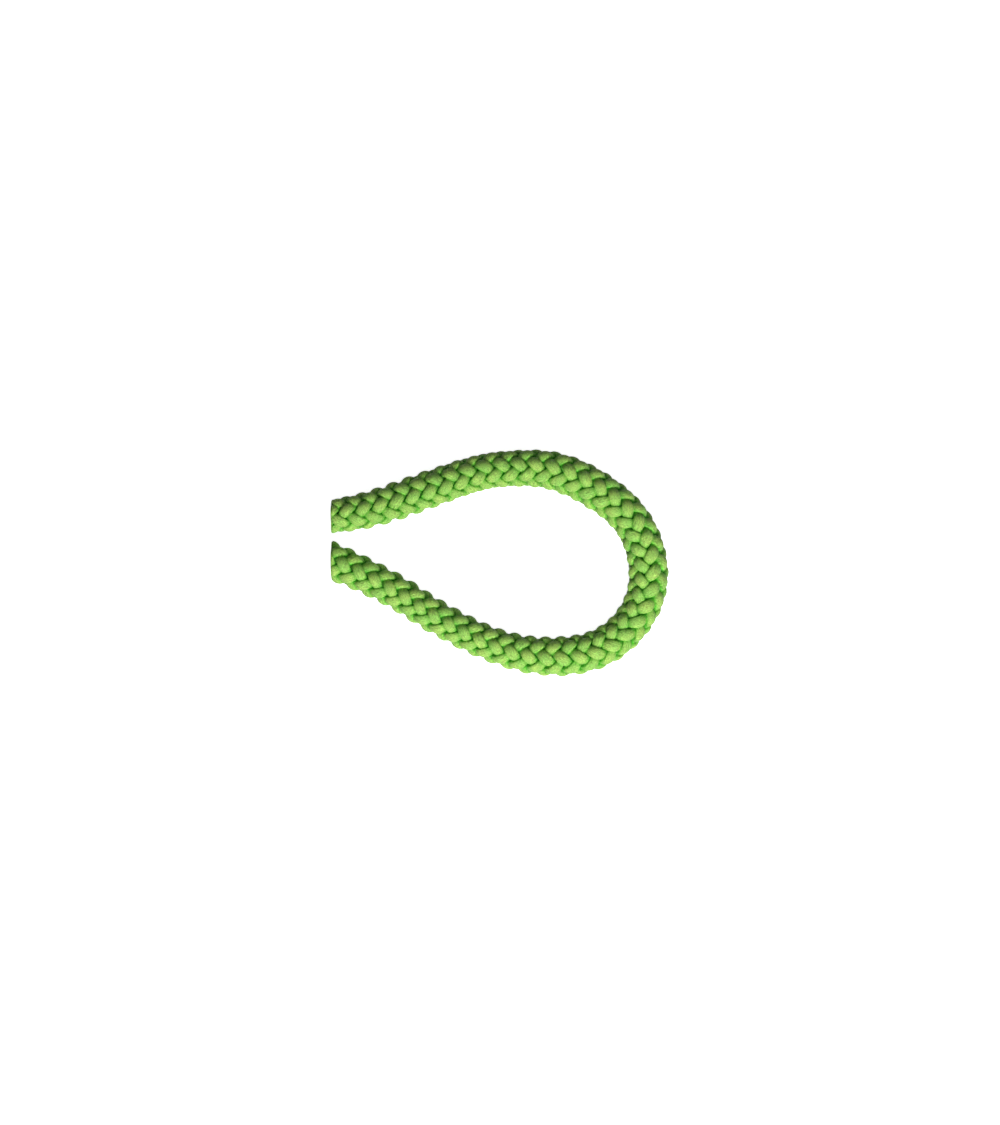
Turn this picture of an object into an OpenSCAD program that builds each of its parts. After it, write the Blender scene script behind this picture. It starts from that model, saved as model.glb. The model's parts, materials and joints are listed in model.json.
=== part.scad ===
// A short length of kernmantle climbing rope, laid on a flat surface in one open loop.
// Inside a braided sheath of sixteen strands lie twelve core strands and a marking tape.
// Both ends are cut off in one plane with a hot knife, which fuses the core to a plug and the
// whole cut to a thin skin.
// Origin: middle of the loop's footprint, on the surface it lies on. +X points away from the cut ends.
// Each strand is a plain solid that runs along the rope in its own place; the sheath's
// over-and-under lay and the core's twist are left out.

/* [Rope] */
// Outside diameter of the rope
rope_d = 10; // [9:0.5:11]

/* [Loop] */
// Length of the loop, from the cut ends to the outside of the bend
loop_l = 91; // [80:1:110]
// Width of the loop, over both legs
loop_w = 61; // [55:1:75]

/* [Sheath] */
// Thickness of the sheath, from its outside to its bore
sheath_t = 2.6; // [2:0.1:3]
// Gap between neighbouring sheath strands
sheath_gap = 0.1; // [0.06:0.02:0.2]
// Bevel along a sheath strand's two outer edges
strand_bevel = 0.35; // [0.1:0.05:0.5]

/* [Core] */
// Gap between neighbouring core strands
core_gap = 0.1; // [0.06:0.02:0.2]

/* [Marking tape] */
// Width of the tape, measured round the core
tape_w = 2; // [1:0.25:3]
// Thickness of the tape
tape_t = 0.1; // [0.05:0.05:0.2]
// Gap between the tape and the strands on each of its two faces
tape_gap = 0.1; // [0.05:0.05:0.15]

/* [Cut ends] */
// Length of the fused plug at each end, measured square to the cut
plug_l = 3; // [1:0.5:5]
// Gap between a plug and the strands round it and behind it
plug_gap = 0.1; // [0.05:0.05:0.2]
// Thickness of the fused skin that covers the whole cut
skin_t = 0.4; // [0.2:0.1:0.8]
// How far the skin stops short of the rope's outside
skin_inset = 0.2; // [0.1:0.1:0.5]

/* [Hidden] */
rope_r = rope_d / 2;

// Points along the middle of a 10 mm rope in a loop of 91 by 61 mm, from one cut end to the other
DRAWN = [
    [-45.5, 12.5], [-38, 13.5], [-31, 15.5], [-24, 18], [-17, 20.5], [-10, 23],
    [-3, 25], [4.5, 25.5], [12, 25.5], [19, 23.5], [25.5, 20], [31.5, 16],
    [36.5, 10.5], [39.5, 3.5], [40.5, -4], [39, -11], [35, -17.5], [29, -22.5],
    [22, -25], [14.5, -25.5], [7, -25], [0, -23], [-6.5, -20.5], [-13, -17],
    [-19.5, -13.5], [-26, -9], [-32.5, -5.5], [-38.5, -2.5], [-45.5, 0.5]
];
DRAWN_LEFT = -45.5;
DRAWN_RIGHT = 40.5;
DRAWN_SIDE = 25.5;
LAST = len(DRAWN) - 1;
// The plane in which both ends are cut off
cut_x = -loop_l / 2;
// The same points, stretched along x and y so that this rope fills this loop
stretch_x = (loop_l - rope_r) / (DRAWN_RIGHT - DRAWN_LEFT);
stretch_y = (loop_w / 2 - rope_r) / DRAWN_SIDE;
ROUTE = [for (p = DRAWN) [cut_x + (p.x - DRAWN_LEFT) * stretch_x, p.y * stretch_y]];

SHEATH_STRANDS = 16;
CORE_INNER_STRANDS = 3;
CORE_OUTER_STRANDS = 9;
CORE_STRAND_SIDES = 8;
TAPE_FACETS = 4;
// Direction, round the rope's middle, in which the tape and the first strand of each ring lie
UP = 90;

bore_r = rope_r - sheath_t;
core_r = bore_r - tape_t - 2 * tape_gap;
// Three strands touch at their middles' triangle, nine more lie in a ring round them
inner_ring_share = 1 / (2 * sin(180 / CORE_INNER_STRANDS));
core_strand_d = (core_r - core_gap * (1 + inner_ring_share)) / (1.5 + inner_ring_share);
inner_ring_r = (core_strand_d + core_gap) * inner_ring_share;
outer_ring_r = core_r - core_strand_d / 2;
// Where the sheath strands stop, behind the fused skin
sheath_end_x = cut_x + skin_t + plug_gap;
// Where the core strands and the tape stop, behind the fused plug
core_end_x = cut_x + plug_l + plug_gap;

function two_digits(n) = n < 10 ? str("0", n) : str(n);
function numbered(name, count, first = 1) = [for (i = [0:count - 1]) str(name, "_", two_digits(first + i))];

SHEATH_NODES = numbered("sheath_strand", SHEATH_STRANDS);
CORE_INNER_NODES = numbered("core_strand", CORE_INNER_STRANDS);
CORE_OUTER_NODES = numbered("core_strand", CORE_OUTER_STRANDS, CORE_INNER_STRANDS + 1);

// ---- sweeping a section along the route -------------------------------------------------

function unit(v) = v / norm(v);

// Direction of the run that starts at point i
function run(i) = unit(ROUTE[i + 1] - ROUTE[i]);

// Direction of the rope at point i: the mean of the runs on its two sides
function heading(i) = i == 0 ? run(0) : i == LAST ? run(LAST - 1) : unit(run(i - 1) + run(i));

// A section's point [a, b] lies a to the left of the rope's middle and b above it
function placed(i, p) = [ROUTE[i].x - heading(i).y * p.x, ROUTE[i].y + heading(i).x * p.x, rope_r + p.y];

// The same at an end, slid along the rope until it meets the plane x = end_x
function at_end(i, p, end_x) =
    let (q = placed(i, p), slide = (end_x - q.x) / heading(i).x)
    [end_x, q.y + heading(i).y * slide, q.z];

function ring(i, section, end_x) =
    [for (p = section) i == 0 || i == LAST ? at_end(i, p, end_x) : placed(i, p)];

// One closed solid of the given section, from the plane x = end_x round the loop and back to it
module strand(section, end_x) {
    n = len(section);
    points = [for (i = [0:LAST]) each ring(i, section, end_x)];
    sides = [
        for (i = [0:LAST - 1], k = [0:n - 1])
            let (a = i * n + k, b = i * n + (k + 1) % n)
            each [[a, b + n, b], [a, a + n, b + n]]
    ];
    first_cap = [for (k = [0:n - 1]) k];
    last_cap = [for (k = [n - 1:-1:0]) LAST * n + k];
    polyhedron(points, concat([first_cap], sides, [last_cap]));
}

// ---- sections ---------------------------------------------------------------------------

function turned(section, angle) =
    [for (p = section) [p.x * cos(angle) - p.y * sin(angle), p.x * sin(angle) + p.y * cos(angle)]];

// A sixteenth of the sheath: a keystone from the bore to the outside, centred on the first axis
function sheath_section() =
    let (
        half_angle = 180 / SHEATH_STRANDS,
        bevel_r = rope_r - strand_bevel,
        bore_y = bore_r * tan(half_angle) - sheath_gap / 2 / cos(half_angle),
        bevel_y = bevel_r * tan(half_angle) - sheath_gap / 2 / cos(half_angle),
        top_y = rope_r * tan(half_angle) - sheath_gap / 2 / cos(half_angle) - strand_bevel
    )
    [
        [bore_r, -bore_y], [bevel_r, -bevel_y], [rope_r, -top_y],
        [rope_r, top_y], [bevel_r, bevel_y], [bore_r, bore_y]
    ];

function core_section(ring_r) =
    [
        for (k = [0:CORE_STRAND_SIDES - 1])
            let (angle = 360 * k / CORE_STRAND_SIDES)
            [ring_r + core_strand_d / 2 * cos(angle), core_strand_d / 2 * sin(angle)]
    ];

function arc(r, from, to) =
    [for (k = [0:TAPE_FACETS]) let (a = from + (to - from) * k / TAPE_FACETS) r * [cos(a), sin(a)]];

// The tape hugs the core, so its section is a short arc
function tape_section() =
    let (
        inner_r = core_r + tape_gap,
        half_angle = tape_w / inner_r * 90 / PI
    )
    concat(arc(inner_r + tape_t, -half_angle, half_angle), arc(inner_r, half_angle, -half_angle));

// ---- the pieces -------------------------------------------------------------------------

module sheath_strand(i) {
    color("yellowgreen")
        strand(turned(sheath_section(), UP + 360 * i / SHEATH_STRANDS), sheath_end_x);
}

module core_strand(ring_r, i, count) {
    color("ivory")
        strand(turned(core_section(ring_r), UP + 360 * i / count), core_end_x);
}

module marking_tape() {
    color("gainsboro")
        strand(turned(tape_section(), UP), core_end_x);
}

// A round bar along the rope's direction, cut off by the plane of the cut and at a depth behind it
module cut_bar(end_point, direction, r, depth) {
    reach = rope_d + depth;
    intersection() {
        translate([end_point.x, end_point.y, rope_r])
            rotate([0, 90, atan2(direction.y, direction.x)])
                cylinder(r = r, h = 2 * reach, center = true, $fn = 64);
        translate([cut_x, end_point.y - reach, 0])
            cube([depth, 2 * reach, rope_d]);
    }
}

// What the hot knife fused: a plug that fills the bore, and the skin that joins it to the sheath
module fused_plug(end_point, direction) {
    color("darkolivegreen") {
        cut_bar(end_point, direction, bore_r - plug_gap, plug_l);
        cut_bar(end_point, direction, rope_r - skin_inset, skin_t);
    }
}

for (i = [0:SHEATH_STRANDS - 1])
    sheath_strand(i);
for (i = [0:CORE_INNER_STRANDS - 1])
    core_strand(inner_ring_r, i, CORE_INNER_STRANDS);
for (i = [0:CORE_OUTER_STRANDS - 1])
    core_strand(outer_ring_r, i, CORE_OUTER_STRANDS);
marking_tape();
fused_plug(ROUTE[0], run(0));  // fused_plug_upper
fused_plug(ROUTE[LAST], run(LAST - 1));  // fused_plug_lower
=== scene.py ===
"""A bight of braided climbing rope, laid flat: sixteen sheath strands over a plied core, with
both ends fused by a hot knife.

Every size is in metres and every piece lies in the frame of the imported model. The sheath is a
regular braid: each strand winds round the rope and passes over two strands of the other family,
then under two.
"""

import json
import math

import bpy
import numpy as np
from bpy.props import FloatProperty, FloatVectorProperty, IntProperty, PointerProperty
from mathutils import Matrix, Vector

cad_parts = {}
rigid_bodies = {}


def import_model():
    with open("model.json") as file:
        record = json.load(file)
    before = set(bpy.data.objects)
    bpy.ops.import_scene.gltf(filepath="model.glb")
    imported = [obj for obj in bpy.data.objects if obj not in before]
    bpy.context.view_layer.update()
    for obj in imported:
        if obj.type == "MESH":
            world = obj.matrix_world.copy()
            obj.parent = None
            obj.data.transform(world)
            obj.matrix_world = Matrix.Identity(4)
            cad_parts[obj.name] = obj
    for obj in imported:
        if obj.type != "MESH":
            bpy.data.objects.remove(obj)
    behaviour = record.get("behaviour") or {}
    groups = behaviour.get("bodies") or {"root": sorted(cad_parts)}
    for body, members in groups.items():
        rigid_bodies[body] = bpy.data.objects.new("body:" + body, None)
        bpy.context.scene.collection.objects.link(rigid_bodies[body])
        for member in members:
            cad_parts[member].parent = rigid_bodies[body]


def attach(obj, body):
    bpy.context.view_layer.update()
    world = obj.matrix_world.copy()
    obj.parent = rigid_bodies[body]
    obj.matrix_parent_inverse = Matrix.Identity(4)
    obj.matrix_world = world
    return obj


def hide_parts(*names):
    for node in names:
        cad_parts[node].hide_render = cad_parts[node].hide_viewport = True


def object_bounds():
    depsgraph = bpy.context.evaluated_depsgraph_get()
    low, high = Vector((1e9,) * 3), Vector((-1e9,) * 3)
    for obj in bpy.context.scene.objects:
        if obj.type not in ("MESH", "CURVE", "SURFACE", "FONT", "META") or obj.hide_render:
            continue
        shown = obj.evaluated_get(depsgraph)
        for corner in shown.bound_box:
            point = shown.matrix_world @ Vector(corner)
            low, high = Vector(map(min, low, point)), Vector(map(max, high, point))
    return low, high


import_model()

bl_info = {
    "name": "Braided climbing rope",
    "version": (1, 0, 0),
    "blender": (4, 5, 0),
    "location": "3D View > Sidebar > Rope",
    "description": "Builds a short bight of kernmantle rope, strand by strand",
    "category": "Add Mesh",
}

CAD_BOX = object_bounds()
BODY = "root"
MM = 0.001
FULL_TURN = 2 * math.pi

# ---- the rope's lie ------------------------------------------------------------------------

# Points that steer the middle of the rope, in millimetres, from one cut end round to the other
ROUTE_MM = (
    (-45.5, 12.5), (-38, 13.5), (-31, 15.5), (-24, 18), (-17, 20.5), (-10, 23),
    (-3, 25), (4.5, 25.5), (12, 25.5), (19, 23.5), (25.5, 20), (31.5, 16),
    (36.5, 10.5), (39.5, 3.5), (40.5, -4), (39, -11), (35, -17.5), (29, -22.5),
    (22, -25), (14.5, -25.5), (7, -25), (0, -23), (-6.5, -20.5), (-13, -17),
    (-19.5, -13.5), (-26, -9), (-32.5, -5.5), (-38.5, -2.5), (-45.5, 0.5),
)
CUT_X = ROUTE_MM[0][0] * MM

# How wide the rope lies, against its round diameter, at even steps from end to end
SWELL = (0.95, 1.1, 1.05, 1.0, 1.2, 1.1, 1.2, 1.05, 1.2, 0.95, 0.95, 0.95, 1.05)
# How far the braid has turned round the rope, in degrees, at even steps from end to end
BRAID_TURN = (15, 50, 70, 60, 65, 75, 80, 85)
# Picks of the braid from end to end, the first one's phase, and how far they run ahead in the bend
PICKS = 45.25
FIRST_PICK = -0.25
CROWDING = 0.2

# ---- the braid -----------------------------------------------------------------------------

CARRIERS = 16
FAMILY = CARRIERS // 2
CORE_INNER = 3
CORE_OUTER = 9
PLIES = 3
LINE_SAMPLES = 6000
END_RUN = 0.014  # straight length kept past each cut, which the cut then takes off
NEWTON_STEPS = 6


def smooth_through(values, at):
    """Cubic B-spline over evenly spaced control values: each value is the mean of four
    neighbours, weighted by the cubic basis of the fractional step. Past both ends the controls
    run on in a straight line, so the curve meets the first and the last value."""
    controls = np.asarray(values, float)
    before = 2 * controls[:1] - controls[1:2]
    after = 2 * controls[-1:] - controls[-2:-1]
    padded = np.concatenate([before, controls, after, after])
    cell = np.clip(np.floor(at).astype(int), 0, len(controls) - 1)
    f = at - cell
    weights = (
        (1 - f) ** 3 / 6,
        (3 * f**3 - 6 * f**2 + 4) / 6,
        (-3 * f**3 + 3 * f**2 + 3 * f + 1) / 6,
        f**3 / 6,
    )
    total = 0
    for step, weight in enumerate(weights):
        total = total + padded[cell + step].T * weight
    return total.T


class RopeLine:
    """The middle of the rope as tables against the distance along it: the place, the direction
    and the bend, with a straight run past each cut."""

    def __init__(self, diameter):
        self.radius = diameter / 2
        steps = np.linspace(0, len(ROUTE_MM) - 1, LINE_SAMPLES)
        inner = smooth_through(ROUTE_MM, steps) * MM
        start = inner[0] - inner[1]
        end = inner[-1] - inner[-2]
        before = inner[0] + start / np.linalg.norm(start) * END_RUN
        after = inner[-1] + end / np.linalg.norm(end) * END_RUN
        points = np.vstack([before, inner, after])
        gaps = np.linalg.norm(np.diff(points, axis=0), axis=1)
        self.length = gaps[1:-1].sum()
        table = np.concatenate([[0], np.cumsum(gaps)]) - END_RUN
        even = np.linspace(table[0], table[-1], LINE_SAMPLES)
        self.along = even
        self.place = np.stack([np.interp(even, table, points[:, k]) for k in (0, 1)], axis=1)
        ahead = np.gradient(self.place, even, axis=0)
        self.heading = np.unwrap(np.arctan2(ahead[:, 1], ahead[:, 0]))
        self.bend = np.gradient(self.heading, even)
        share = np.clip(even / self.length, 0, 1)
        self.swell = smooth_through(SWELL, share * (len(SWELL) - 1))
        self.turn = np.radians(smooth_through(BRAID_TURN, share * (len(BRAID_TURN) - 1)))

    def lay_picks(self):
        """Counts the picks along the rope: an even rate, plus a bulge of
        CROWDING * sin(pi * share^2), where share is the part of the length gone by. The length
        of a pick is the inverse of the count's slope."""
        share = np.clip(self.along / self.length, 0, 1)
        self.picks = FIRST_PICK + PICKS * self.along / self.length
        self.picks = self.picks + CROWDING * np.sin(math.pi * share**2)
        self.pick_length = 1 / np.gradient(self.picks, self.along)

    def read(self, table, along):
        return np.interp(along, self.along, table)

    def around(self, along, angle, out):
        """The point at a distance out from the middle, at an angle from the rope's left towards
        its top: middle + out * (swell * cos * left + sin * up)."""
        x = self.read(self.place[:, 0], along)
        y = self.read(self.place[:, 1], along)
        heading = self.read(self.heading, along)
        aside = out * np.cos(angle) * self.read(self.swell, along)
        height = self.radius + out * np.sin(angle)
        return np.stack([x - np.sin(heading) * aside, y + np.cos(heading) * aside, height], axis=-1)

    def along_at(self, x, angle, out, guess):
        """How far along the rope the line at that angle and distance out meets the plane of x:
        Newton steps, with the cosine of the heading as the slope."""
        along = guess
        for _ in range(NEWTON_STEPS):
            miss = x - self.around(along, angle, out)[..., 0]
            along = along + miss / np.cos(self.read(self.heading, along))
        return along

    def outward(self, along, angle):
        """The direction that points away from the rope's middle at that angle."""
        heading = self.read(self.heading, along)
        side = np.cos(angle)
        return np.stack([-np.sin(heading) * side, np.cos(heading) * side, np.sin(angle)], axis=-1)


def unit(vectors):
    return vectors / np.linalg.norm(vectors, axis=-1, keepdims=True)


def frames_of(line, outward):
    """Across and outward directions at each point of a line: the tangent is the difference of
    the neighbouring points, and outward is made square to it."""
    tangent = unit(np.gradient(line, axis=0))
    normal = unit(outward - (outward * tangent).sum(-1, keepdims=True) * tangent)
    return np.cross(tangent, normal), normal


def cut_flush(grid, plane_x, reach):
    """Ends every lengthwise line of a grid of points exactly in the plane x = plane_x.

    grid is rings by sides by xyz, and its rings reach past the plane at both ends. Each line is
    read again at ring numbers that start and end where it meets the plane; the shift fades out
    over `reach` rings, so the rings behind it keep their places. Gives the grid and the ring
    numbers."""
    rings, sides, _ = grid.shape
    half = rings // 2
    side = np.arange(sides)
    beyond = grid[..., 0] < plane_x
    if not (beyond[0].all() and beyond[-1].all()):
        raise ValueError("a line of the grid ends short of the cut")
    last_outside = half - 1 - beyond[:half][::-1].argmax(axis=0)
    last_inside = half - 1 + beyond[half:].argmax(axis=0)

    def meeting(low):
        """The ring number, with its fraction, where each line meets the plane after ring `low`."""
        before, after = grid[low, side, 0], grid[low + 1, side, 0]
        return low + (plane_x - before) / (after - before)

    start, stop = meeting(last_outside), meeting(last_inside)
    from_start, to_stop = start.mean(), stop.mean()
    number = np.linspace(from_start, to_stop, rings)
    near_start = np.clip(1 - (number - from_start) / reach, 0, 1) ** 2
    near_stop = np.clip(1 - (to_stop - number) / reach, 0, 1) ** 2
    wanted = (
        number[:, None]
        + near_start[:, None] * (start - from_start)[None]
        + near_stop[:, None] * (stop - to_stop)[None]
    )
    cut = between_rings(grid, wanted)
    cut[0, :, 0] = plane_x
    cut[-1, :, 0] = plane_x
    return cut, wanted


def between_rings(table, wanted):
    """A table of rings by sides, read at ring numbers with a fraction: the two rings round each
    number, weighted by how near they are."""
    low = np.clip(np.floor(wanted).astype(int), 0, len(table) - 2)
    part = wanted - low
    if table.ndim > wanted.ndim:
        part = part[..., None]
    side = np.arange(wanted.shape[1])[None]
    return table[low, side] * (1 - part) + table[low + 1, side] * part


def reread(values, wanted):
    """Values on a grid, read again at the ring numbers that a cut has moved its rings to."""
    return {label: between_rings(table, wanted) for label, table in values.items()}


def tube_mesh(name, grid, values):
    """A closed tube over a grid of rings: quads between neighbouring rings, and a fan to the
    mean point of each end ring. values are numbers per point, kept as attributes."""
    rings, sides, _ = grid.shape
    points = np.concatenate([grid.reshape(-1, 3), grid[0].mean(0)[None], grid[-1].mean(0)[None]])
    ring, side = np.meshgrid(np.arange(rings - 1), np.arange(sides), indexing="ij")
    here = (ring * sides + side).ravel()
    beside = (ring * sides + (side + 1) % sides).ravel()
    quads = np.stack([here, beside, beside + sides, here + sides], axis=1)
    around = np.arange(sides)
    following = (around + 1) % sides
    first, last = rings * sides, rings * sides + 1
    start_fan = np.stack([following, around, np.full(sides, first)], axis=1)
    end_row = (rings - 1) * sides
    end_fan = np.stack([end_row + around, end_row + following, np.full(sides, last)], axis=1)
    mesh = bpy.data.meshes.new(name)
    mesh.from_pydata(points.tolist(), [], quads.tolist() + start_fan.tolist() + end_fan.tolist())
    for label, table in values.items():
        full = np.concatenate([table.ravel(), [table[0].mean(), table[-1].mean()]])
        mesh.attributes.new(label, "FLOAT", "POINT").data.foreach_set("value", full.astype(np.float32))
    smooth = np.ones(len(mesh.polygons), bool)
    smooth[len(quads):] = False
    mesh.polygons.foreach_set("use_smooth", smooth)
    mesh.update()
    return mesh


def show(mesh, material, nodes):
    """Puts a finished mesh in the scene as the piece that stands for those CAD nodes."""
    piece = bpy.data.objects.new(mesh.name, mesh)
    bpy.context.scene.collection.objects.link(piece)
    mesh.materials.append(material)
    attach(piece, BODY)
    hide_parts(*nodes)
    return piece


# ---- settings ------------------------------------------------------------------------------


class RopeSizes(bpy.types.PropertyGroup):
    """Sizes of the rope and of the strands in it"""

    diameter: FloatProperty(
        name="Diameter", description="Outside diameter of the rope", unit="LENGTH",
        default=CAD_BOX[1][2] - CAD_BOX[0][2], precision=4,
    )
    strand_over: FloatProperty(
        name="Strand on top", description="Thickness of a sheath strand where it lies on top",
        unit="LENGTH", default=0.002, precision=5,
    )
    strand_under: FloatProperty(
        name="Strand below", description="Thickness of a sheath strand where it lies below",
        unit="LENGTH", default=0.00035, precision=5,
    )
    weave: FloatProperty(
        name="Weave", description="Half of the way that a strand sinks from its top to its lowest point",
        unit="LENGTH", default=0.00085, precision=5,
    )
    dive: FloatProperty(
        name="Dive", description="How much lower than on an even wave a strand lies halfway down",
        unit="LENGTH", default=0.0003, precision=5,
    )
    yarns: IntProperty(name="Yarns", description="Yarns side by side in a sheath strand", default=5)
    core_width: FloatProperty(
        name="Core", description="Diameter of the bundle of core strands", unit="LENGTH",
        default=0.0039, precision=5,
    )
    core_gap: FloatProperty(
        name="Core gap", description="Gap between neighbouring core strands", unit="LENGTH",
        default=0.0001, precision=5,
    )
    core_lay: FloatProperty(
        name="Core lay", description="Length in which a core strand's plies turn once",
        unit="LENGTH", default=0.007, precision=4,
    )
    tape_width: FloatProperty(
        name="Tape", description="Width of the marking tape", unit="LENGTH", default=0.002, precision=4,
    )
    film: FloatProperty(
        name="Film", description="Thickness of the marking tape", unit="LENGTH",
        default=0.0001, precision=5,
    )
    plug: FloatProperty(
        name="Plug", description="Length of the fused core at each cut", unit="LENGTH",
        default=0.003, precision=4,
    )
    plug_width: FloatProperty(
        name="Plug width", description="Diameter of the fused core", unit="LENGTH",
        default=0.0043, precision=5,
    )
    skin: FloatProperty(
        name="Skin", description="Thickness of the fused skin over each cut", unit="LENGTH",
        default=0.0004, precision=5,
    )
    skin_inset: FloatProperty(
        name="Skin inset", description="How far the skin's edge lies inside the cut strands' outside",
        unit="LENGTH", default=0.0001, precision=5,
    )


class RopeColours(bpy.types.PropertyGroup):
    """Colours of the yarns, of the tape and of the fused ends"""

    bright: FloatVectorProperty(
        name="Bright", description="Sheath yarn that lies open to the light", subtype="COLOR",
        default=(0.395, 0.63, 0.13),
    )
    green: FloatVectorProperty(
        name="Green", description="Sheath yarn in its greener stretches", subtype="COLOR",
        default=(0.285, 0.58, 0.11),
    )
    # Painted shade: the sheath yarn's colour where it tucks under between strands, standing in for the
    # shade there
    painted_shade: FloatVectorProperty(
        name="Deep", description="Sheath yarn where it tucks under", subtype="COLOR",
        default=(0.08, 0.45, 0.03),
    )
    sheen: FloatVectorProperty(
        name="Sheen", description="Tint of the light that the sheath's fibres reflect",
        subtype="COLOR", default=(0.5, 0.95, 0.35),
    )
    core: FloatVectorProperty(
        name="Core", description="Core yarn", subtype="COLOR", default=(0.80, 0.79, 0.74),
    )
    tape: FloatVectorProperty(
        name="Tape", description="Marking tape", subtype="COLOR", default=(0.75, 0.75, 0.70),
    )
    fused: FloatVectorProperty(
        name="Fused", description="Core melted by the hot knife", subtype="COLOR",
        default=(0.88, 0.80, 0.44),
    )
    fused_sheath: FloatVectorProperty(
        name="Fused sheath", description="Sheath melted by the hot knife", subtype="COLOR",
        default=(0.25, 0.53, 0.06),
    )


class StageLook(bpy.types.PropertyGroup):
    """The floor, the light and the camera"""

    view_height: FloatProperty(
        name="View height", description="Length of floor that the picture's long side spans",
        unit="LENGTH", default=0.30375, precision=4,
    )
    lens: FloatProperty(
        name="Lens", description="Focal length of the camera, in millimetres", default=85,
    )
    key: FloatProperty(name="Key", description="Power of the key light, in watts", default=3.3)
    top: FloatProperty(name="Top", description="Power of the light over the rope, in watts", default=1.9)
    sky: FloatProperty(name="Sky", description="Strength of the light from all round", default=0.055)


# ---- materials -----------------------------------------------------------------------------

# Grain that is drawn out along a strand: noise cells in a millimetre along it and across it,
# then the noise's detail and roughness
BUNDLES = (0.45, 4.2, 1.0, 0.5)
FIBRES = (1.6, 13.0, 3.0, 0.65)
SPECKLE = (2.4, 6.0, 1.0, 0.5)
# What each grain adds to the yarn's brightness, and the brightness without any
BUNDLE_TONE = 0.45
FIBRE_TONE = 0.55
SPECKLE_TONE = 1.8
BARE_TONE = -0.4
# What each grain, and the plies that wind round the yarn, add to the bump
BUNDLE_RISE = 0.8
FIBRE_RISE = 0.6
PLY_RISE = 0.35
PLY_TURNS = 1.25  # turns of a ply in a millimetre of strand
PLY_LEAN = 1.1  # turns by which a ply leans over the width of a yarn
WANDER = 300.0  # cells in a metre of the noise by which the colour wanders
MIDST = (0.35, 0.65)  # the range in which most of a noise's values lie


class Finish:
    """A procedural material that is built node by node."""

    def __init__(self, name):
        self.material = bpy.data.materials.new(name)
        self.material.use_nodes = True
        self.tree = self.material.node_tree
        self.shader = self.tree.nodes["Principled BSDF"]

    def node(self, kind, inputs=None, **settings):
        node = self.tree.nodes.new(kind)
        for key, value in settings.items():
            setattr(node, key, value)
        for key, value in (inputs or {}).items():
            self.put(node.inputs[key], value)
        return node

    def put(self, socket, value):
        if isinstance(value, bpy.types.NodeSocket):
            self.tree.links.new(value, socket)
        else:
            socket.default_value = value

    def value(self, operation, *inputs, clamp=False):
        node = self.node("ShaderNodeMath", operation=operation, use_clamp=clamp)
        for socket, value in zip(node.inputs, inputs):
            self.put(socket, value)
        return node.outputs[0]

    def mix(self, factor, a, b, blend="MIX"):
        node = self.node("ShaderNodeMix", data_type="RGBA", blend_type=blend)
        self.put(node.inputs["Factor"], factor)
        for key, value in (("A", a), ("B", b)):
            socket = [s for s in node.inputs if s.name == key and s.type == "RGBA"][0]
            self.put(socket, value if isinstance(value, bpy.types.NodeSocket) else (*value, 1))
        return [s for s in node.outputs if s.type == "RGBA"][0]

    def noise(self, vector, scale, detail=2.0, rough=0.5):
        inputs = {"Vector": vector, "Scale": scale, "Detail": detail, "Roughness": rough}
        return self.node("ShaderNodeTexNoise", inputs).outputs["Fac"]

    def drawn_out(self, along, across, lot, grain):
        """Noise whose cells are long or short along a strand, as the grain says."""
        run, width, detail, rough = grain
        place = self.node("ShaderNodeCombineXYZ", {
            "X": self.value("MULTIPLY", along, run),
            "Y": self.value("MULTIPLY", across, width),
            "Z": lot,
        })
        return self.noise(place.outputs[0], 1.0, detail, rough)

    def grey(self, level):
        node = self.node("ShaderNodeCombineColor", {"Red": level, "Green": level, "Blue": level})
        return node.outputs[0]

    def object_place(self):
        return self.node("ShaderNodeTexCoord").outputs["Object"]

    def bump(self, height, strength, distance):
        inputs = {"Height": height, "Strength": strength, "Distance": distance}
        self.set(Normal=self.node("ShaderNodeBump", inputs).outputs["Normal"])

    def attribute(self, name):
        return self.node("ShaderNodeAttribute", attribute_name=name).outputs["Fac"]

    def spread(self, value, low, high, to_low=0.0, to_high=1.0):
        inputs = {
            "Value": value, "From Min": low, "From Max": high, "To Min": to_low, "To Max": to_high,
        }
        return self.node("ShaderNodeMapRange", inputs).outputs["Result"]

    def set(self, **values):
        for key, value in values.items():
            self.put(self.shader.inputs[key.replace("_", " ")], value)


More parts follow.
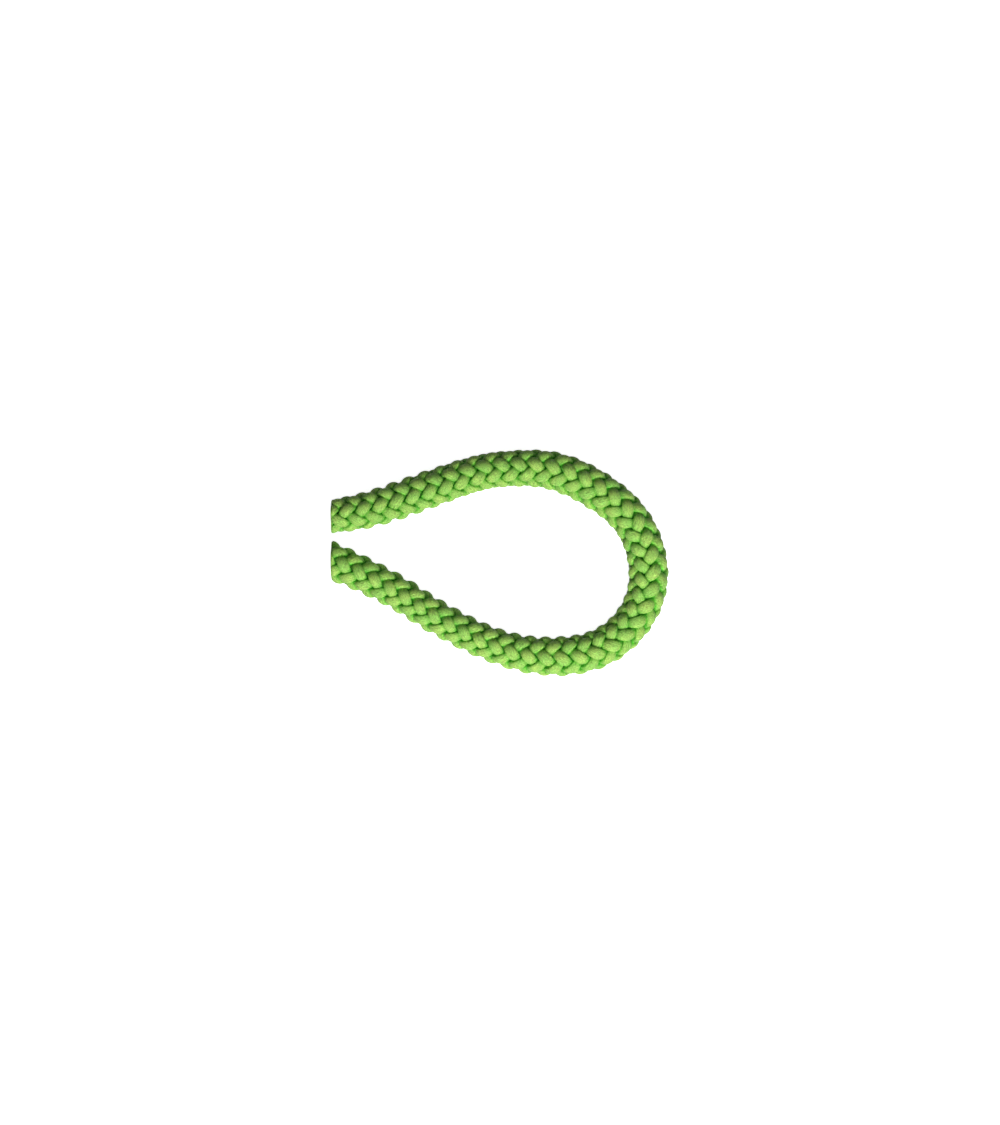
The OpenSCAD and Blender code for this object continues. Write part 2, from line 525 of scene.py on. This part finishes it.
def yarn_finish(name, colours, sheen, yarn_width, low_rise, high_rise):
    """Yarn in plies: fine fibres run along it, plies cross it aslant, and its colour wanders.

    `along` and `across` are millimetres on the strand, `rise` is the distance in millimetres from
    the rope's middle, or in the core from the strand's own, and `lot` tells the strands apart.
    The yarn takes its painted shade colour, which stands in for the shade that falls where it lies low
    in the tucks and grooves, at low_rise, and its open colours from high_rise up. `sheen` tints what the
    fibres reflect."""
    bright, green, painted_shade = colours
    f = Finish(name)
    along, across, lot = f.attribute("along"), f.attribute("across"), f.attribute("lot")
    bundles = f.drawn_out(along, across, lot, BUNDLES)
    fibres = f.drawn_out(along, across, lot, FIBRES)
    speckle = f.drawn_out(along, across, lot, SPECKLE)
    wander = f.noise(f.object_place(), WANDER)

    tone = f.mix(f.spread(wander, *MIDST), bright, green)
    # Painted shade: low on the strand, in the tucks and grooves, the colour turns to the shade colour
    tone = f.mix(f.spread(f.attribute("rise"), low_rise, high_rise), painted_shade, tone)
    level = f.value("MULTIPLY_ADD", speckle, SPECKLE_TONE, BARE_TONE)
    level = f.value("MULTIPLY_ADD", fibres, FIBRE_TONE, level)
    level = f.value("MULTIPLY_ADD", bundles, BUNDLE_TONE, level)
    f.set(Base_Color=f.mix(1.0, tone, f.grey(level), "MULTIPLY"), Roughness=0.62)
    f.set(Sheen_Weight=0.08, Sheen_Roughness=0.45, Specular_IOR_Level=0.35)
    f.set(Sheen_Tint=(*sheen, 1), Specular_Tint=(*sheen, 1))

    lean = f.value("MULTIPLY", across, PLY_LEAN / yarn_width)
    turns = f.value("MULTIPLY_ADD", along, PLY_TURNS, lean)
    plies = f.value("SINE", f.value("MULTIPLY", turns, FULL_TURN))
    plies = f.value("MULTIPLY_ADD", plies, 0.5, 0.5)
    height = f.value("MULTIPLY_ADD", plies, PLY_RISE, f.value("MULTIPLY", fibres, FIBRE_RISE))
    height = f.value("MULTIPLY_ADD", bundles, BUNDLE_RISE, height)
    f.bump(height, 0.6, 0.12 * MM)
    return f.material


RIB_SCALE = 2500.0  # waves of the tape's weave in a metre, by the wave node's own measure
RIB_COLOUR = (0.45, 0.45, 0.42)
RIB_SHARE = 0.25


def film_finish(name, colour):
    """Thin woven film: close ribs, which are darker and stand a little proud."""
    f = Finish(name)
    inputs = {"Vector": f.object_place(), "Scale": RIB_SCALE, "Distortion": 1.0}
    ribs = f.node("ShaderNodeTexWave", inputs).outputs["Fac"]
    tone = f.mix(f.spread(ribs, 0.0, 1.0, 0.0, RIB_SHARE), colour, RIB_COLOUR)
    f.set(Base_Color=tone, Roughness=0.4)
    f.bump(ribs, 0.3, 0.05 * MM)
    return f.material


FLOW = (1300.0, 3.0, 0.6)  # the flow marks' noise: cells in a metre, detail and roughness
SWIRL = 600.0  # cells in a metre of the noise that frays the border and strews the scorches
FRAY = 0.35  # how far that noise shifts the border of core and sheath
BORDER = (-0.02, 0.1)  # where the border starts and ends, from core_share
CORE_SHADE = 0.6  # brightness of the darker flow marks in the core
SHEATH_SHADE = 0.55  # and in the sheath
SCORCH_COLOUR = (0.13, 0.12, 0.03)
SCORCH_MIDST = (0.05, 0.2)  # the noise's values between which a scorched spot comes up
SCORCH_SPOTS = 0.2  # how much a spot is scorched, against the bottom of a groove
SCORCH_SHARE = 0.6  # how much of the scorch colour the bottom of a groove takes on


def melted_finish(name, core, sheath, core_share):
    """Polyamide that has melted and set, with flow marks and scorched grooves. `ring` is the
    share of the way out from the rope's middle: core inside core_share, sheath past it. `groove`
    is how far a spot lies down in a groove."""
    f = Finish(name)
    place = f.object_place()
    flow = f.noise(place, *FLOW)
    marks = f.spread(flow, *MIDST)
    swirl = f.value("SUBTRACT", f.noise(place, SWIRL), 0.5)
    ring = f.value("MULTIPLY_ADD", swirl, FRAY, f.attribute("ring"))
    inside = f.mix(marks, core, tuple(CORE_SHADE * c for c in core))
    outside = f.mix(marks, sheath, tuple(SHEATH_SHADE * c for c in sheath))
    start, end = BORDER
    tone = f.mix(f.spread(ring, core_share + start, core_share + end), inside, outside)
    spots = f.spread(swirl, *SCORCH_MIDST)
    scorch = f.value("MULTIPLY_ADD", spots, SCORCH_SPOTS, f.attribute("groove"))
    scorch = f.value("MULTIPLY", scorch, SCORCH_SHARE, clamp=True)
    f.set(Base_Color=f.mix(scorch, tone, SCORCH_COLOUR), Roughness=0.48, Coat_Weight=0.05)
    f.bump(flow, 0.6, 0.15 * MM)
    return f.material


CLOUDS = 40.0  # cells in a metre of the floor's faint clouds
CLOUD_MIDST = (0.3, 0.7)  # the noise's values between which a cloud clears
CLOUD_TONE = (0.985, 1.0)  # the floor's brightness inside a cloud and outside it


def plain_finish(name, colour, roughness, glow):
    """Plain pale board with faint clouds, which glows so that its far parts stay pale too."""
    f = Finish(name)
    cloud = f.spread(f.noise(f.object_place(), CLOUDS), *CLOUD_MIDST, *CLOUD_TONE)
    f.set(Base_Color=f.mix(1.0, colour, f.grey(cloud), "MULTIPLY"), Roughness=roughness)
    f.set(Emission_Color=(1, 1, 1, 1), Emission_Strength=glow)
    return f.material


# ---- shapes --------------------------------------------------------------------------------


def rope_line():
    sizes = bpy.context.scene.rope_sizes
    line = RopeLine(sizes.diameter)
    line.lay_picks()
    return line


WAVERS = 3
WAVER_STRETCH = 0.37  # how much longer than the first each further sine is, as a share of it


def wavering(seed, along, size, length):
    """Small seeded unevenness along a strand: sines of unlike length, which sum to `size`."""
    random = np.random.default_rng(seed)
    total = np.zeros_like(along)
    for part in range(WAVERS):
        phase = random.uniform(0, FULL_TURN)
        total += np.sin(along * FULL_TURN / (length * (1 + WAVER_STRETCH * part)) + phase)
    return total / WAVERS * size


# Rings and sides of the pieces
RINGS_PER_PICK = 14
TOP_SIDES = 38
UNDER_SIDES = 10
RINGS_PER_LAY = 14
SIDES_PER_PLY = 7
TAPE_STEP = 0.0012  # from one ring of the tape to the next
TAPE_SIDES = 7
PLUG_SIDES = 144
PLUG_FACE_RINGS = 41
PLUG_WALL_RINGS = 9
PLUG_BEAD_RINGS = 9
PATH_POINTS = 120  # points of the line that states where the rope lies
# Rings over which the shift of a cut fades out
SHEATH_CUT_RINGS = 1.5 * RINGS_PER_PICK
CORE_CUT_RINGS = RINGS_PER_LAY
TAPE_CUT_RINGS = 4

# The sheath strands
PRESSED = 1.15  # a free strand's width against the width its neighbours leave it
YARN_RIDGE = 0.06 * MM  # how high a yarn's ridge stands
RIDGE_LEVEL = 0.8  # the part of a ridge that lies below the strand's own outline
CROSS = 0.06  # how far each end of a float is turned crosswise, in radians round the rope
FILL = 0.97  # a strand's width against the room it has, where it lies halfway down
FILL_GAIN = 0.03  # how much of the room it gains at the top, and loses at the bottom
CROSSINGS = 4  # crossings in one period of the braid: two on top and two below
TOP_CROSSING = 0.5  # the count of crossings at which a strand of the first family is on top
CLEAR = 0.01 * MM  # how high above the floor the lowest points lie
# How a strand wavers round the rope (in radians), up and down, and in width, and over what length
ROUND_WAVER = (0.02, 0.021)
LIFT_WAVER = (0.04 * MM, 0.013)
WIDTH_WAVER = (0.06 * MM, 0.017)
FAMILY_SEED = 100
LIFT_SEED = 7
WIDTH_SEED = 13
# What sets the noise of one strand apart from the next one's, and of one family from the other's
STRAND_LOT = 3.7
FAMILY_LOT = 40


def braided_grid(line, sizes, sense, number):
    """The surface of one sheath strand.

    Its middle winds round the rope by one family step a pick, forwards or backwards by `sense`.
    The count of crossings it has passed sets its lift: a cosine with a period of four crossings,
    two on top and two below, which lies `dive` lower halfway. Its section is an ellipse, thick
    while the strand is on top and thin while it is below, pressed flat where its neighbours touch
    it and bent to the rope's roundness, with a round ridge for each yarn on its upper side."""
    step = FULL_TURN / FAMILY
    over, under = sizes.strand_over, sizes.strand_under
    top_out = (sizes.diameter - over) / 2
    first, last = line.picks[0], line.picks[-1]
    picks = np.linspace(first, last, int((last - first) * RINGS_PER_PICK))
    along = np.interp(picks, line.picks, line.along)
    seed = FAMILY_SEED * (sense + 2) + number
    crossings = 2 * number + sense * 2 * picks
    phase = FULL_TURN / CROSSINGS * (crossings - TOP_CROSSING)
    wave = sense * np.cos(phase)
    angle = line.read(line.turn, along) + step * (sense * picks + number)
    angle = angle + sense * CROSS * np.sin(phase) + wavering(seed, along, *ROUND_WAVER)
    out = top_out - sizes.weave * (1 - wave) - sizes.dive * (1 - wave**2)
    out = out + wavering(seed + LIFT_SEED, along, *LIFT_WAVER)
    middle = line.around(along, angle, out)
    across, outward = frames_of(middle, line.outward(along, angle))

    swell = line.read(line.swell, along)
    pick = line.read(line.pick_length, along)
    pick = pick * (1 - line.read(line.bend, along) * out * swell * np.cos(angle))
    slope = step + math.pi * CROSS * wave
    arc = out * slope * np.hypot(swell * np.sin(angle), np.cos(angle))
    room = arc * pick / np.hypot(arc, pick)
    lean = np.arctan2(arc, pick)
    width = room * (FILL + FILL_GAIN * wave)
    width = width + wavering(seed + WIDTH_SEED, along, *WIDTH_WAVER)
    thickness = under + (over - under) * (0.5 + 0.5 * wave)

    phi = np.concatenate([
        np.linspace(0, math.pi, TOP_SIDES, endpoint=False),
        np.linspace(math.pi, FULL_TURN, UNDER_SIDES, endpoint=False),
    ])
    cosine, sine = np.cos(phi), np.sin(phi)
    side = np.clip(PRESSED * cosine, -1, 1)
    lane = (side + 1) / 2 * sizes.yarns % 1
    ridge = np.sqrt(np.clip(1 - (2 * lane - 1) ** 2, 0, 1)) - RIDGE_LEVEL
    ridge = ridge * np.sqrt(np.clip(sine, 0, 1)) * YARN_RIDGE
    sideways = width[:, None] / 2 * side[None]
    hug = sideways**2 * (np.cos(lean) ** 2 / out / 2)[:, None]
    upward = thickness[:, None] / 2 * sine[None] + ridge[None] - hug
    grid = middle[:, None] + across[:, None] * sideways[..., None]
    grid = grid + outward[:, None] * upward[..., None]
    grid[..., 2] = np.maximum(grid[..., 2], CLEAR)

    travelled = np.concatenate([[0], np.cumsum(np.linalg.norm(np.diff(middle, axis=0), axis=1))])
    ones = np.ones_like(sideways)
    values = {
        "along": travelled[:, None] / MM * ones,
        "across": sideways / MM,
        "rise": (out[:, None] + upward) / MM,
        "lot": ones * (number * STRAND_LOT + FAMILY_LOT * (sense > 0)),
    }
    return grid, values


def core_strand_grid(line, sizes, ring_out, angle, strand_out):
    """A core strand of three twisted plies, at an angle and a distance from the rope's middle.

    Its section is the outline of three circles that touch inside the strand's own circle: with t
    the angle from the nearest ply, c the ply's distance from the strand's middle and p its
    radius, the outline lies at c * cos(t) + sqrt(p^2 - c^2 * sin(t)^2). It turns once in each
    lay."""
    ply = strand_out / (1 + 1 / math.sin(math.pi / PLIES))
    middle_to_ply = strand_out - ply
    count = int((line.along[-1] - line.along[0]) / sizes.core_lay * RINGS_PER_LAY)
    along = np.linspace(line.along[0], line.along[-1], count)
    side = np.arange(PLIES * SIDES_PER_PLY) * FULL_TURN / (PLIES * SIDES_PER_PLY)
    apart = (side + math.pi / PLIES) % (FULL_TURN / PLIES) - math.pi / PLIES
    depth = ply**2 - (middle_to_ply * np.sin(apart)) ** 2
    outline = middle_to_ply * np.cos(apart) + np.sqrt(np.maximum(depth, 0))
    turned = side[None] + (along / sizes.core_lay * FULL_TURN)[:, None] + angle
    left = ring_out * math.cos(angle) + outline[None] * np.cos(turned)
    up = ring_out * math.sin(angle) + outline[None] * np.sin(turned)
    ones = np.ones_like(turned)
    grid = line.around(along[:, None] * ones, np.arctan2(up, left), np.hypot(left, up))
    values = {
        "along": along[:, None] / MM * ones,
        "across": strand_out * side[None] / MM * ones,
        "rise": outline[None] / MM * ones,
        "lot": ones * (angle + ring_out / MM),
    }
    return grid, values


def tape_grid(line, sizes, inner_out):
    """The marking tape: an arc of thin film on top of the core, as long as the tape is wide."""
    along = np.arange(line.along[0], line.along[-1], TAPE_STEP)
    half = sizes.tape_width / inner_out / 2
    over = np.linspace(-half, half, TAPE_SIDES)
    angle = math.pi / 2 + np.concatenate([over, over[::-1]])
    out = inner_out + np.repeat([0, sizes.film], TAPE_SIDES)
    ones = np.ones((len(along), 2 * TAPE_SIDES))
    grid = line.around(along[:, None] * ones, angle[None] * ones, out[None] * ones)
    values = {"along": along[:, None] / MM * ones, "across": angle[None] * inner_out / MM * ones}
    return grid, values


# The fused ends
SHEATH_END = 0.75  # how deep in the skin the sheath strands end, as a share of its thickness
OUTLINE_BLUR = 0.8  # how closely the skin's edge follows the strands' ends, in radians
OUTLINE_MEAN = 2  # sides on each side of one whose mean it takes
FACE_MIDDLE = 0.03  # the innermost ring of the face, as a share of its radius
GROOVE_START = 0.4  # where a groove begins and how far it would run on, as shares of the radius
GROOVE_RUN = 0.75
FACE_RELIEF = 0.22 * MM  # how far the deepest groove of the skin's face sinks
FACE_WAVES = 6  # plane waves in seeded directions that sum to the lumps of the face
FACE_WAVE_TURNS = (5, 2)  # the first wave's phase over a radius, in radians, and the others' steps
FACE_RISE = 0.7  # how much of the lumps lies below the plane of the cut
FACE_EDGE = 6  # the power of the radius by which the lumps fade out towards the edge
SEAM_WIDTH = 0.05  # how wide the seam round the core is, as a share of the radius
PLUG_SEED = 31
# How deep each of these sinks the face, as a share of FACE_RELIEF
GROOVE_SHARE = 0.6
LUMP_SHARE = 0.4
SEAM_SHARE = 0.15


def cut_outline(line, ends, guess, side):
    """How far out the cut strands reach at each angle round the rope: over all points of their
    end rings, the largest of distance * exp(-(angle apart / OUTLINE_BLUR)^2), then the mean over
    neighbouring sides."""
    heading = line.read(line.heading, guess)
    x, y, height = line.around(guess, 0.0, 0.0)
    left = ends[:, 1] - y - (CUT_X - x) * np.tan(heading)
    left = left * np.cos(heading) / line.read(line.swell, guess)
    up = ends[:, 2] - height
    off = (side[:, None] - np.arctan2(up, left)[None] + math.pi) % FULL_TURN - math.pi
    reach = (np.hypot(up, left)[None] * np.exp(-((off / OUTLINE_BLUR) ** 2))).max(axis=1)
    near = range(-OUTLINE_MEAN, OUTLINE_MEAN + 1)
    return np.mean([np.roll(reach, shift) for shift in near], axis=0)


def face_lumps(share, side, seed):
    """Lumps of melted polyamide: the mean of plane waves that run across the face in seeded
    directions, each with more turns than the one before."""
    random = np.random.default_rng(seed)
    first, step = FACE_WAVE_TURNS
    lumps = 0
    for wave in range(FACE_WAVES):
        towards, phase = random.uniform(0, FULL_TURN, 2)
        run = share * np.cos(side - towards)[None]
        lumps = lumps + np.sin((first + step * wave) * run + phase) / FACE_WAVES
    return lumps


def plug_grid(line, sizes, guess, ends, seed):
    """The fused core at a cut and the skin that joins it to the sheath, in one lathed shape.

    The profile runs from the middle of the face over the skin's bead, a half circle, in to the
    plug and back along its wall to its inner end. The skin's edge follows the outline of the cut
    strands, and a groove runs in from each notch between two of them. The face's lumps are a sum
    of plane waves. Both ends lie in planes square to x."""
    side = np.linspace(0, FULL_TURN, PLUG_SIDES, endpoint=False)
    edge = cut_outline(line, ends, guess, side) - sizes.skin_inset
    notch = np.clip((edge.max() - edge) / (edge.max() - edge.min()), 0, 1)
    bead_out = sizes.skin / 2
    plug_share = sizes.plug_width / 2 / edge.mean()

    face = np.linspace(FACE_MIDDLE, 1, PLUG_FACE_RINGS)
    bead = np.linspace(0, math.pi, PLUG_BEAD_RINGS)[1:]
    wall = np.linspace(sizes.skin, sizes.plug, PLUG_WALL_RINGS)
    inner = face[::-2] * plug_share
    share = [face, np.ones_like(bead), np.full_like(wall, plug_share), inner]
    swollen = [np.zeros_like(face), bead_out * np.sin(bead), np.zeros(len(wall) + len(inner))]
    depth = [np.zeros_like(face), bead_out * (1 - np.cos(bead)), wall]
    depth.append(np.full_like(inner, sizes.plug))
    share, swollen, depth = (np.concatenate(parts)[:, None] for parts in (share, swollen, depth))
    follow = np.clip((share - plug_share) / (1 - plug_share), 0, 1)
    out = share * (edge.mean() * (1 - follow) + (edge[None] - bead_out) * follow) + swollen

    in_groove = np.clip((share - GROOVE_START) / GROOVE_RUN, 0, 1)
    groove = notch[None] * np.sin(math.pi * in_groove)
    lumps = (face_lumps(share, side, seed) + FACE_RISE) * (1 - share**FACE_EDGE)
    seam = np.exp(-(((share - plug_share) / SEAM_WIDTH) ** 2))
    sunk = np.clip(GROOVE_SHARE * groove + LUMP_SHARE * lumps + SEAM_SHARE * seam, 0, 1)
    sunk[len(face):] = 0
    x = CUT_X + depth + sunk * FACE_RELIEF
    angle = side[None] * np.ones_like(out)
    along = line.along_at(x, angle, out, np.full_like(out, guess))
    values = {"ring": share * np.ones_like(out), "groove": groove}
    return line.around(along, angle, out), values


# ---- operators -----------------------------------------------------------------------------

# Width of a yarn, and how far out it has its painted shade colour and its open one, in millimetres
SHEATH_YARN = (0.5, 3.4, 4.6)
CORE_YARN = (1.0, 0.2, 0.5)
CORE_GROOVE_SHADE = 0.6  # painted shade: brightness of the core yarn in the grooves between its plies, where shade falls
CORE_SHARE = 0.5  # the fused core's share of the way out over the cut


class ROPE_OT_sheath(bpy.types.Operator):
    """Braid the sixteen strands of the sheath, and cut them flush at both ends"""

    bl_idname = "rope.sheath"
    bl_label = "Sheath strands"

    def execute(self, context):
        sizes, colours = context.scene.rope_sizes, context.scene.rope_colours
        line = rope_line()
        tones = (colours.bright, colours.green, colours.painted_shade)
        finish = yarn_finish("sheath_yarn", tones, colours.sheen, *SHEATH_YARN)
        for index in range(CARRIERS):
            sense = 1 if index % 2 == 0 else -1
            grid, values = braided_grid(line, sizes, sense, index // 2)
            grid, wanted = cut_flush(grid, CUT_X + SHEATH_END * sizes.skin, SHEATH_CUT_RINGS)
            node = f"sheath_strand_{index + 1:02d}"
            mesh = tube_mesh(f"braided_{node}", grid, reread(values, wanted))
            show(mesh, finish, [node])
        return {"FINISHED"}


class ROPE_OT_core(bpy.types.Operator):
    """Lay the twelve core strands in their two rings, up to the fused ends"""

    bl_idname = "rope.core"
    bl_label = "Core strands"

    def execute(self, context):
        sizes, colours = context.scene.rope_sizes, context.scene.rope_colours
        line = rope_line()
        white = tuple(colours.core)
        # Painted shade for the grooves between the plies
        shaded = tuple(CORE_GROOVE_SHADE * c for c in white)
        finish = yarn_finish("core_yarn", (white, white, shaded), (1, 1, 1), *CORE_YARN)
        core_out, gap = sizes.core_width / 2, sizes.core_gap
        # The inner ring's radius is `share` of its strands' spacing. With half a strand, a gap and
        # a whole strand past it, it makes up the core's radius.
        share = 1 / (2 * math.sin(math.pi / CORE_INNER))
        strand_out = (core_out - gap * (1 + share)) / (1.5 + share) / 2
        rings = ((CORE_INNER, (2 * strand_out + gap) * share), (CORE_OUTER, core_out - strand_out))
        number = 0
        for count, ring_out in rings:
            for place in range(count):
                number += 1
                angle = math.pi / 2 + place * FULL_TURN / count
                grid, values = core_strand_grid(line, sizes, ring_out, angle, strand_out)
                grid, wanted = cut_flush(grid, CUT_X + sizes.plug + gap, CORE_CUT_RINGS)
                node = f"core_strand_{number:02d}"
                mesh = tube_mesh(f"twisted_{node}", grid, reread(values, wanted))
                show(mesh, finish, [node])
        return {"FINISHED"}


class ROPE_OT_tape(bpy.types.Operator):
    """Lay the marking tape between the core and the sheath"""

    bl_idname = "rope.tape"
    bl_label = "Marking tape"

    def execute(self, context):
        sizes, colours = context.scene.rope_sizes, context.scene.rope_colours
        line = rope_line()
        grid, values = tape_grid(line, sizes, sizes.core_width / 2 + sizes.core_gap / 2)
        grid, wanted = cut_flush(grid, CUT_X + sizes.plug + sizes.core_gap, TAPE_CUT_RINGS)
        mesh = tube_mesh("woven_marking_tape", grid, reread(values, wanted))
        show(mesh, film_finish("marking_tape", colours.tape), ["marking_tape"])
        return {"FINISHED"}


class ROPE_OT_fused_ends(bpy.types.Operator):
    """Close both cuts with the plug and the skin that the hot knife fused"""

    bl_idname = "rope.fused_ends"
    bl_label = "Fused ends"

    def execute(self, context):
        sizes, colours = context.scene.rope_sizes, context.scene.rope_colours
        line = rope_line()
        finish = melted_finish("fused_core", colours.fused, colours.fused_sheath, CORE_SHARE)
        for end, guess, cap in (("upper", 0.0, 0), ("lower", line.length, -1)):
            grid, values = plug_grid(line, sizes, guess, self.cut_ends(cap), PLUG_SEED + cap)
            mesh = tube_mesh(f"fused_end_{end}", grid, values)
            show(mesh, finish, [f"fused_plug_{end}"])
        return {"FINISHED"}

    def cut_ends(self, cap):
        """The points of all the sheath strands' end rings at one cut: the first or the last ring.
        The last two points of a strand only close its ends, and are left out."""
        rings = []
        for index in range(CARRIERS):
            mesh = bpy.data.objects[f"braided_sheath_strand_{index + 1:02d}"].data
            flat = np.empty(3 * len(mesh.vertices))
            mesh.vertices.foreach_get("co", flat)
            points = flat.reshape(-1, 3)[:-2]
            rings.append(points.reshape(-1, TOP_SIDES + UNDER_SIDES, 3)[cap])
        return np.concatenate(rings)


class ROPE_OT_declare(bpy.types.Operator):
    """Read points along the rope's middle and list the pieces besides the first sheath strand; no fact
    is stated from them
    """

    bl_idname = "rope.declare"
    bl_label = "Rope facts"

    def execute(self, context):
        line = rope_line()
        lain = np.linspace(0, line.length, PATH_POINTS)
        x, y = line.read(line.place[:, 0], lain), line.read(line.place[:, 1], lain)
        others = [f"braided_sheath_strand_{i + 1:02d}" for i in range(1, CARRIERS)]
        others += ["woven_marking_tape", "fused_end_upper", "fused_end_lower"]
        return {"FINISHED"}


STAGE_HALF = 3  # half of the floor's side, and the distance to the wall round it
WALL_SIDES = 96
PALE = (0.88, 0.88, 0.88)
BOARD_ROUGHNESS = 0.9
BOARD_GLOW = 0.92
# The lamps' places and the sides of their squares
KEY_LAMP = ((0.08, -0.42, 0.40), 0.22)
TOP_LAMP = ((0.20, -0.28, 0.65), 0.80)


class ROPE_OT_stage(bpy.types.Operator):
    """Set out the floor, the soft light and the camera"""

    bl_idname = "rope.stage"
    bl_label = "Floor, light and camera"

    def execute(self, context):
        look = context.scene.rope_stage
        self.camera(look)
        pale = plain_finish("pale_floor", PALE, BOARD_ROUGHNESS, BOARD_GLOW)
        corners = [(-1, -1, 0), (1, -1, 0), (1, 1, 0), (-1, 1, 0)]
        self.backing("floor", pale, np.array(corners) * STAGE_HALF, [(0, 1, 2, 3)])
        wall = self.backing("backdrop", pale, *self.ring_wall())
        # The wall is only there to be seen past the floor's edge
        wall.visible_glossy = False
        wall.visible_shadow = False
        self.lamp("key", *KEY_LAMP, look.key)
        self.lamp("top", *TOP_LAMP, look.top)
        world = bpy.data.worlds.new("sky")
        world.use_nodes = True
        sky = world.node_tree.nodes["Background"].inputs
        sky["Color"].default_value = (1, 1, 1, 1)
        sky["Strength"].default_value = look.sky
        context.scene.world = world
        context.scene.view_settings.view_transform = "Standard"
        return {"FINISHED"}

    def camera(self, look):
        """A camera straight above the middle of the rope, so far up that the picture's long side
        spans view_height at half the rope's thickness: lens / sensor width * view_height."""
        middle = [(a + b) / 2 for a, b in zip(*CAD_BOX)]
        camera = bpy.data.cameras.new("camera")
        camera.lens = look.lens
        distance = look.lens / camera.sensor_width * look.view_height
        seen = bpy.data.objects.new("camera", camera)
        half_thick = bpy.context.scene.rope_sizes.diameter / 2
        seen.location = (middle[0], middle[1], half_thick + distance)
        bpy.context.scene.collection.objects.link(seen)
        bpy.context.scene.camera = seen

    def ring_wall(self):
        """The points and faces of a plain wall that stands on the floor in a ring."""
        angle = np.linspace(0, FULL_TURN, WALL_SIDES, endpoint=False)
        foot = np.stack([np.cos(angle), np.sin(angle), np.zeros(WALL_SIDES)], axis=1)
        points = np.concatenate([foot, foot + (0, 0, 1)]) * STAGE_HALF
        here = np.arange(WALL_SIDES)
        beside = (here + 1) % WALL_SIDES
        return points, np.stack([beside, here, here + WALL_SIDES, beside + WALL_SIDES], axis=1)

    def backing(self, name, finish, points, faces):
        """A surface of the stage, which lies behind the rope and throws no light on it."""
        mesh = bpy.data.meshes.new(name)
        mesh.from_pydata(np.asarray(points).tolist(), [], np.asarray(faces).tolist())
        mesh.materials.append(finish)
        surface = bpy.data.objects.new(name, mesh)
        surface.visible_diffuse = False
        bpy.context.scene.collection.objects.link(surface)
        return surface

    def lamp(self, name, place, size, power):
        """A square soft light that faces the middle of the rope."""
        light = bpy.data.lights.new(name, "AREA")
        light.size = size
        light.energy = power
        lamp = bpy.data.objects.new(name, light)
        lamp.location = place
        lean = math.atan2(math.hypot(place[0], place[1]), place[2])
        lamp.rotation_euler = (lean, 0, math.atan2(place[1], place[0]) + math.pi / 2)
        bpy.context.scene.collection.objects.link(lamp)


class ROPE_PT_panel(bpy.types.Panel):
    """Lists the steps that build the rope"""

    bl_idname = "ROPE_PT_panel"
    bl_label = "Braided rope"
    bl_space_type = "VIEW_3D"
    bl_region_type = "UI"
    bl_category = "Rope"

    def draw(self, context):
        for step in STEPS:
            self.layout.operator(step.bl_idname)


STEPS = (
    ROPE_OT_stage, ROPE_OT_sheath, ROPE_OT_core, ROPE_OT_tape, ROPE_OT_fused_ends, ROPE_OT_declare,
)
CLASSES = (RopeSizes, RopeColours, StageLook, *STEPS, ROPE_PT_panel)
SETTINGS = {"rope_sizes": RopeSizes, "rope_colours": RopeColours, "rope_stage": StageLook}


def register():
    for cls in CLASSES:
        bpy.utils.register_class(cls)
    for name, group in SETTINGS.items():
        setattr(bpy.types.Scene, name, PointerProperty(type=group))


def unregister():
    for name in SETTINGS:
        delattr(bpy.types.Scene, name)
    for cls in reversed(CLASSES):
        bpy.utils.unregister_class(cls)


def main():
    register()
    bpy.ops.rope.stage()
    bpy.ops.rope.sheath()
    bpy.ops.rope.core()
    bpy.ops.rope.tape()
    bpy.ops.rope.fused_ends()
    bpy.ops.rope.declare()


if __name__ == "__main__":
    main()
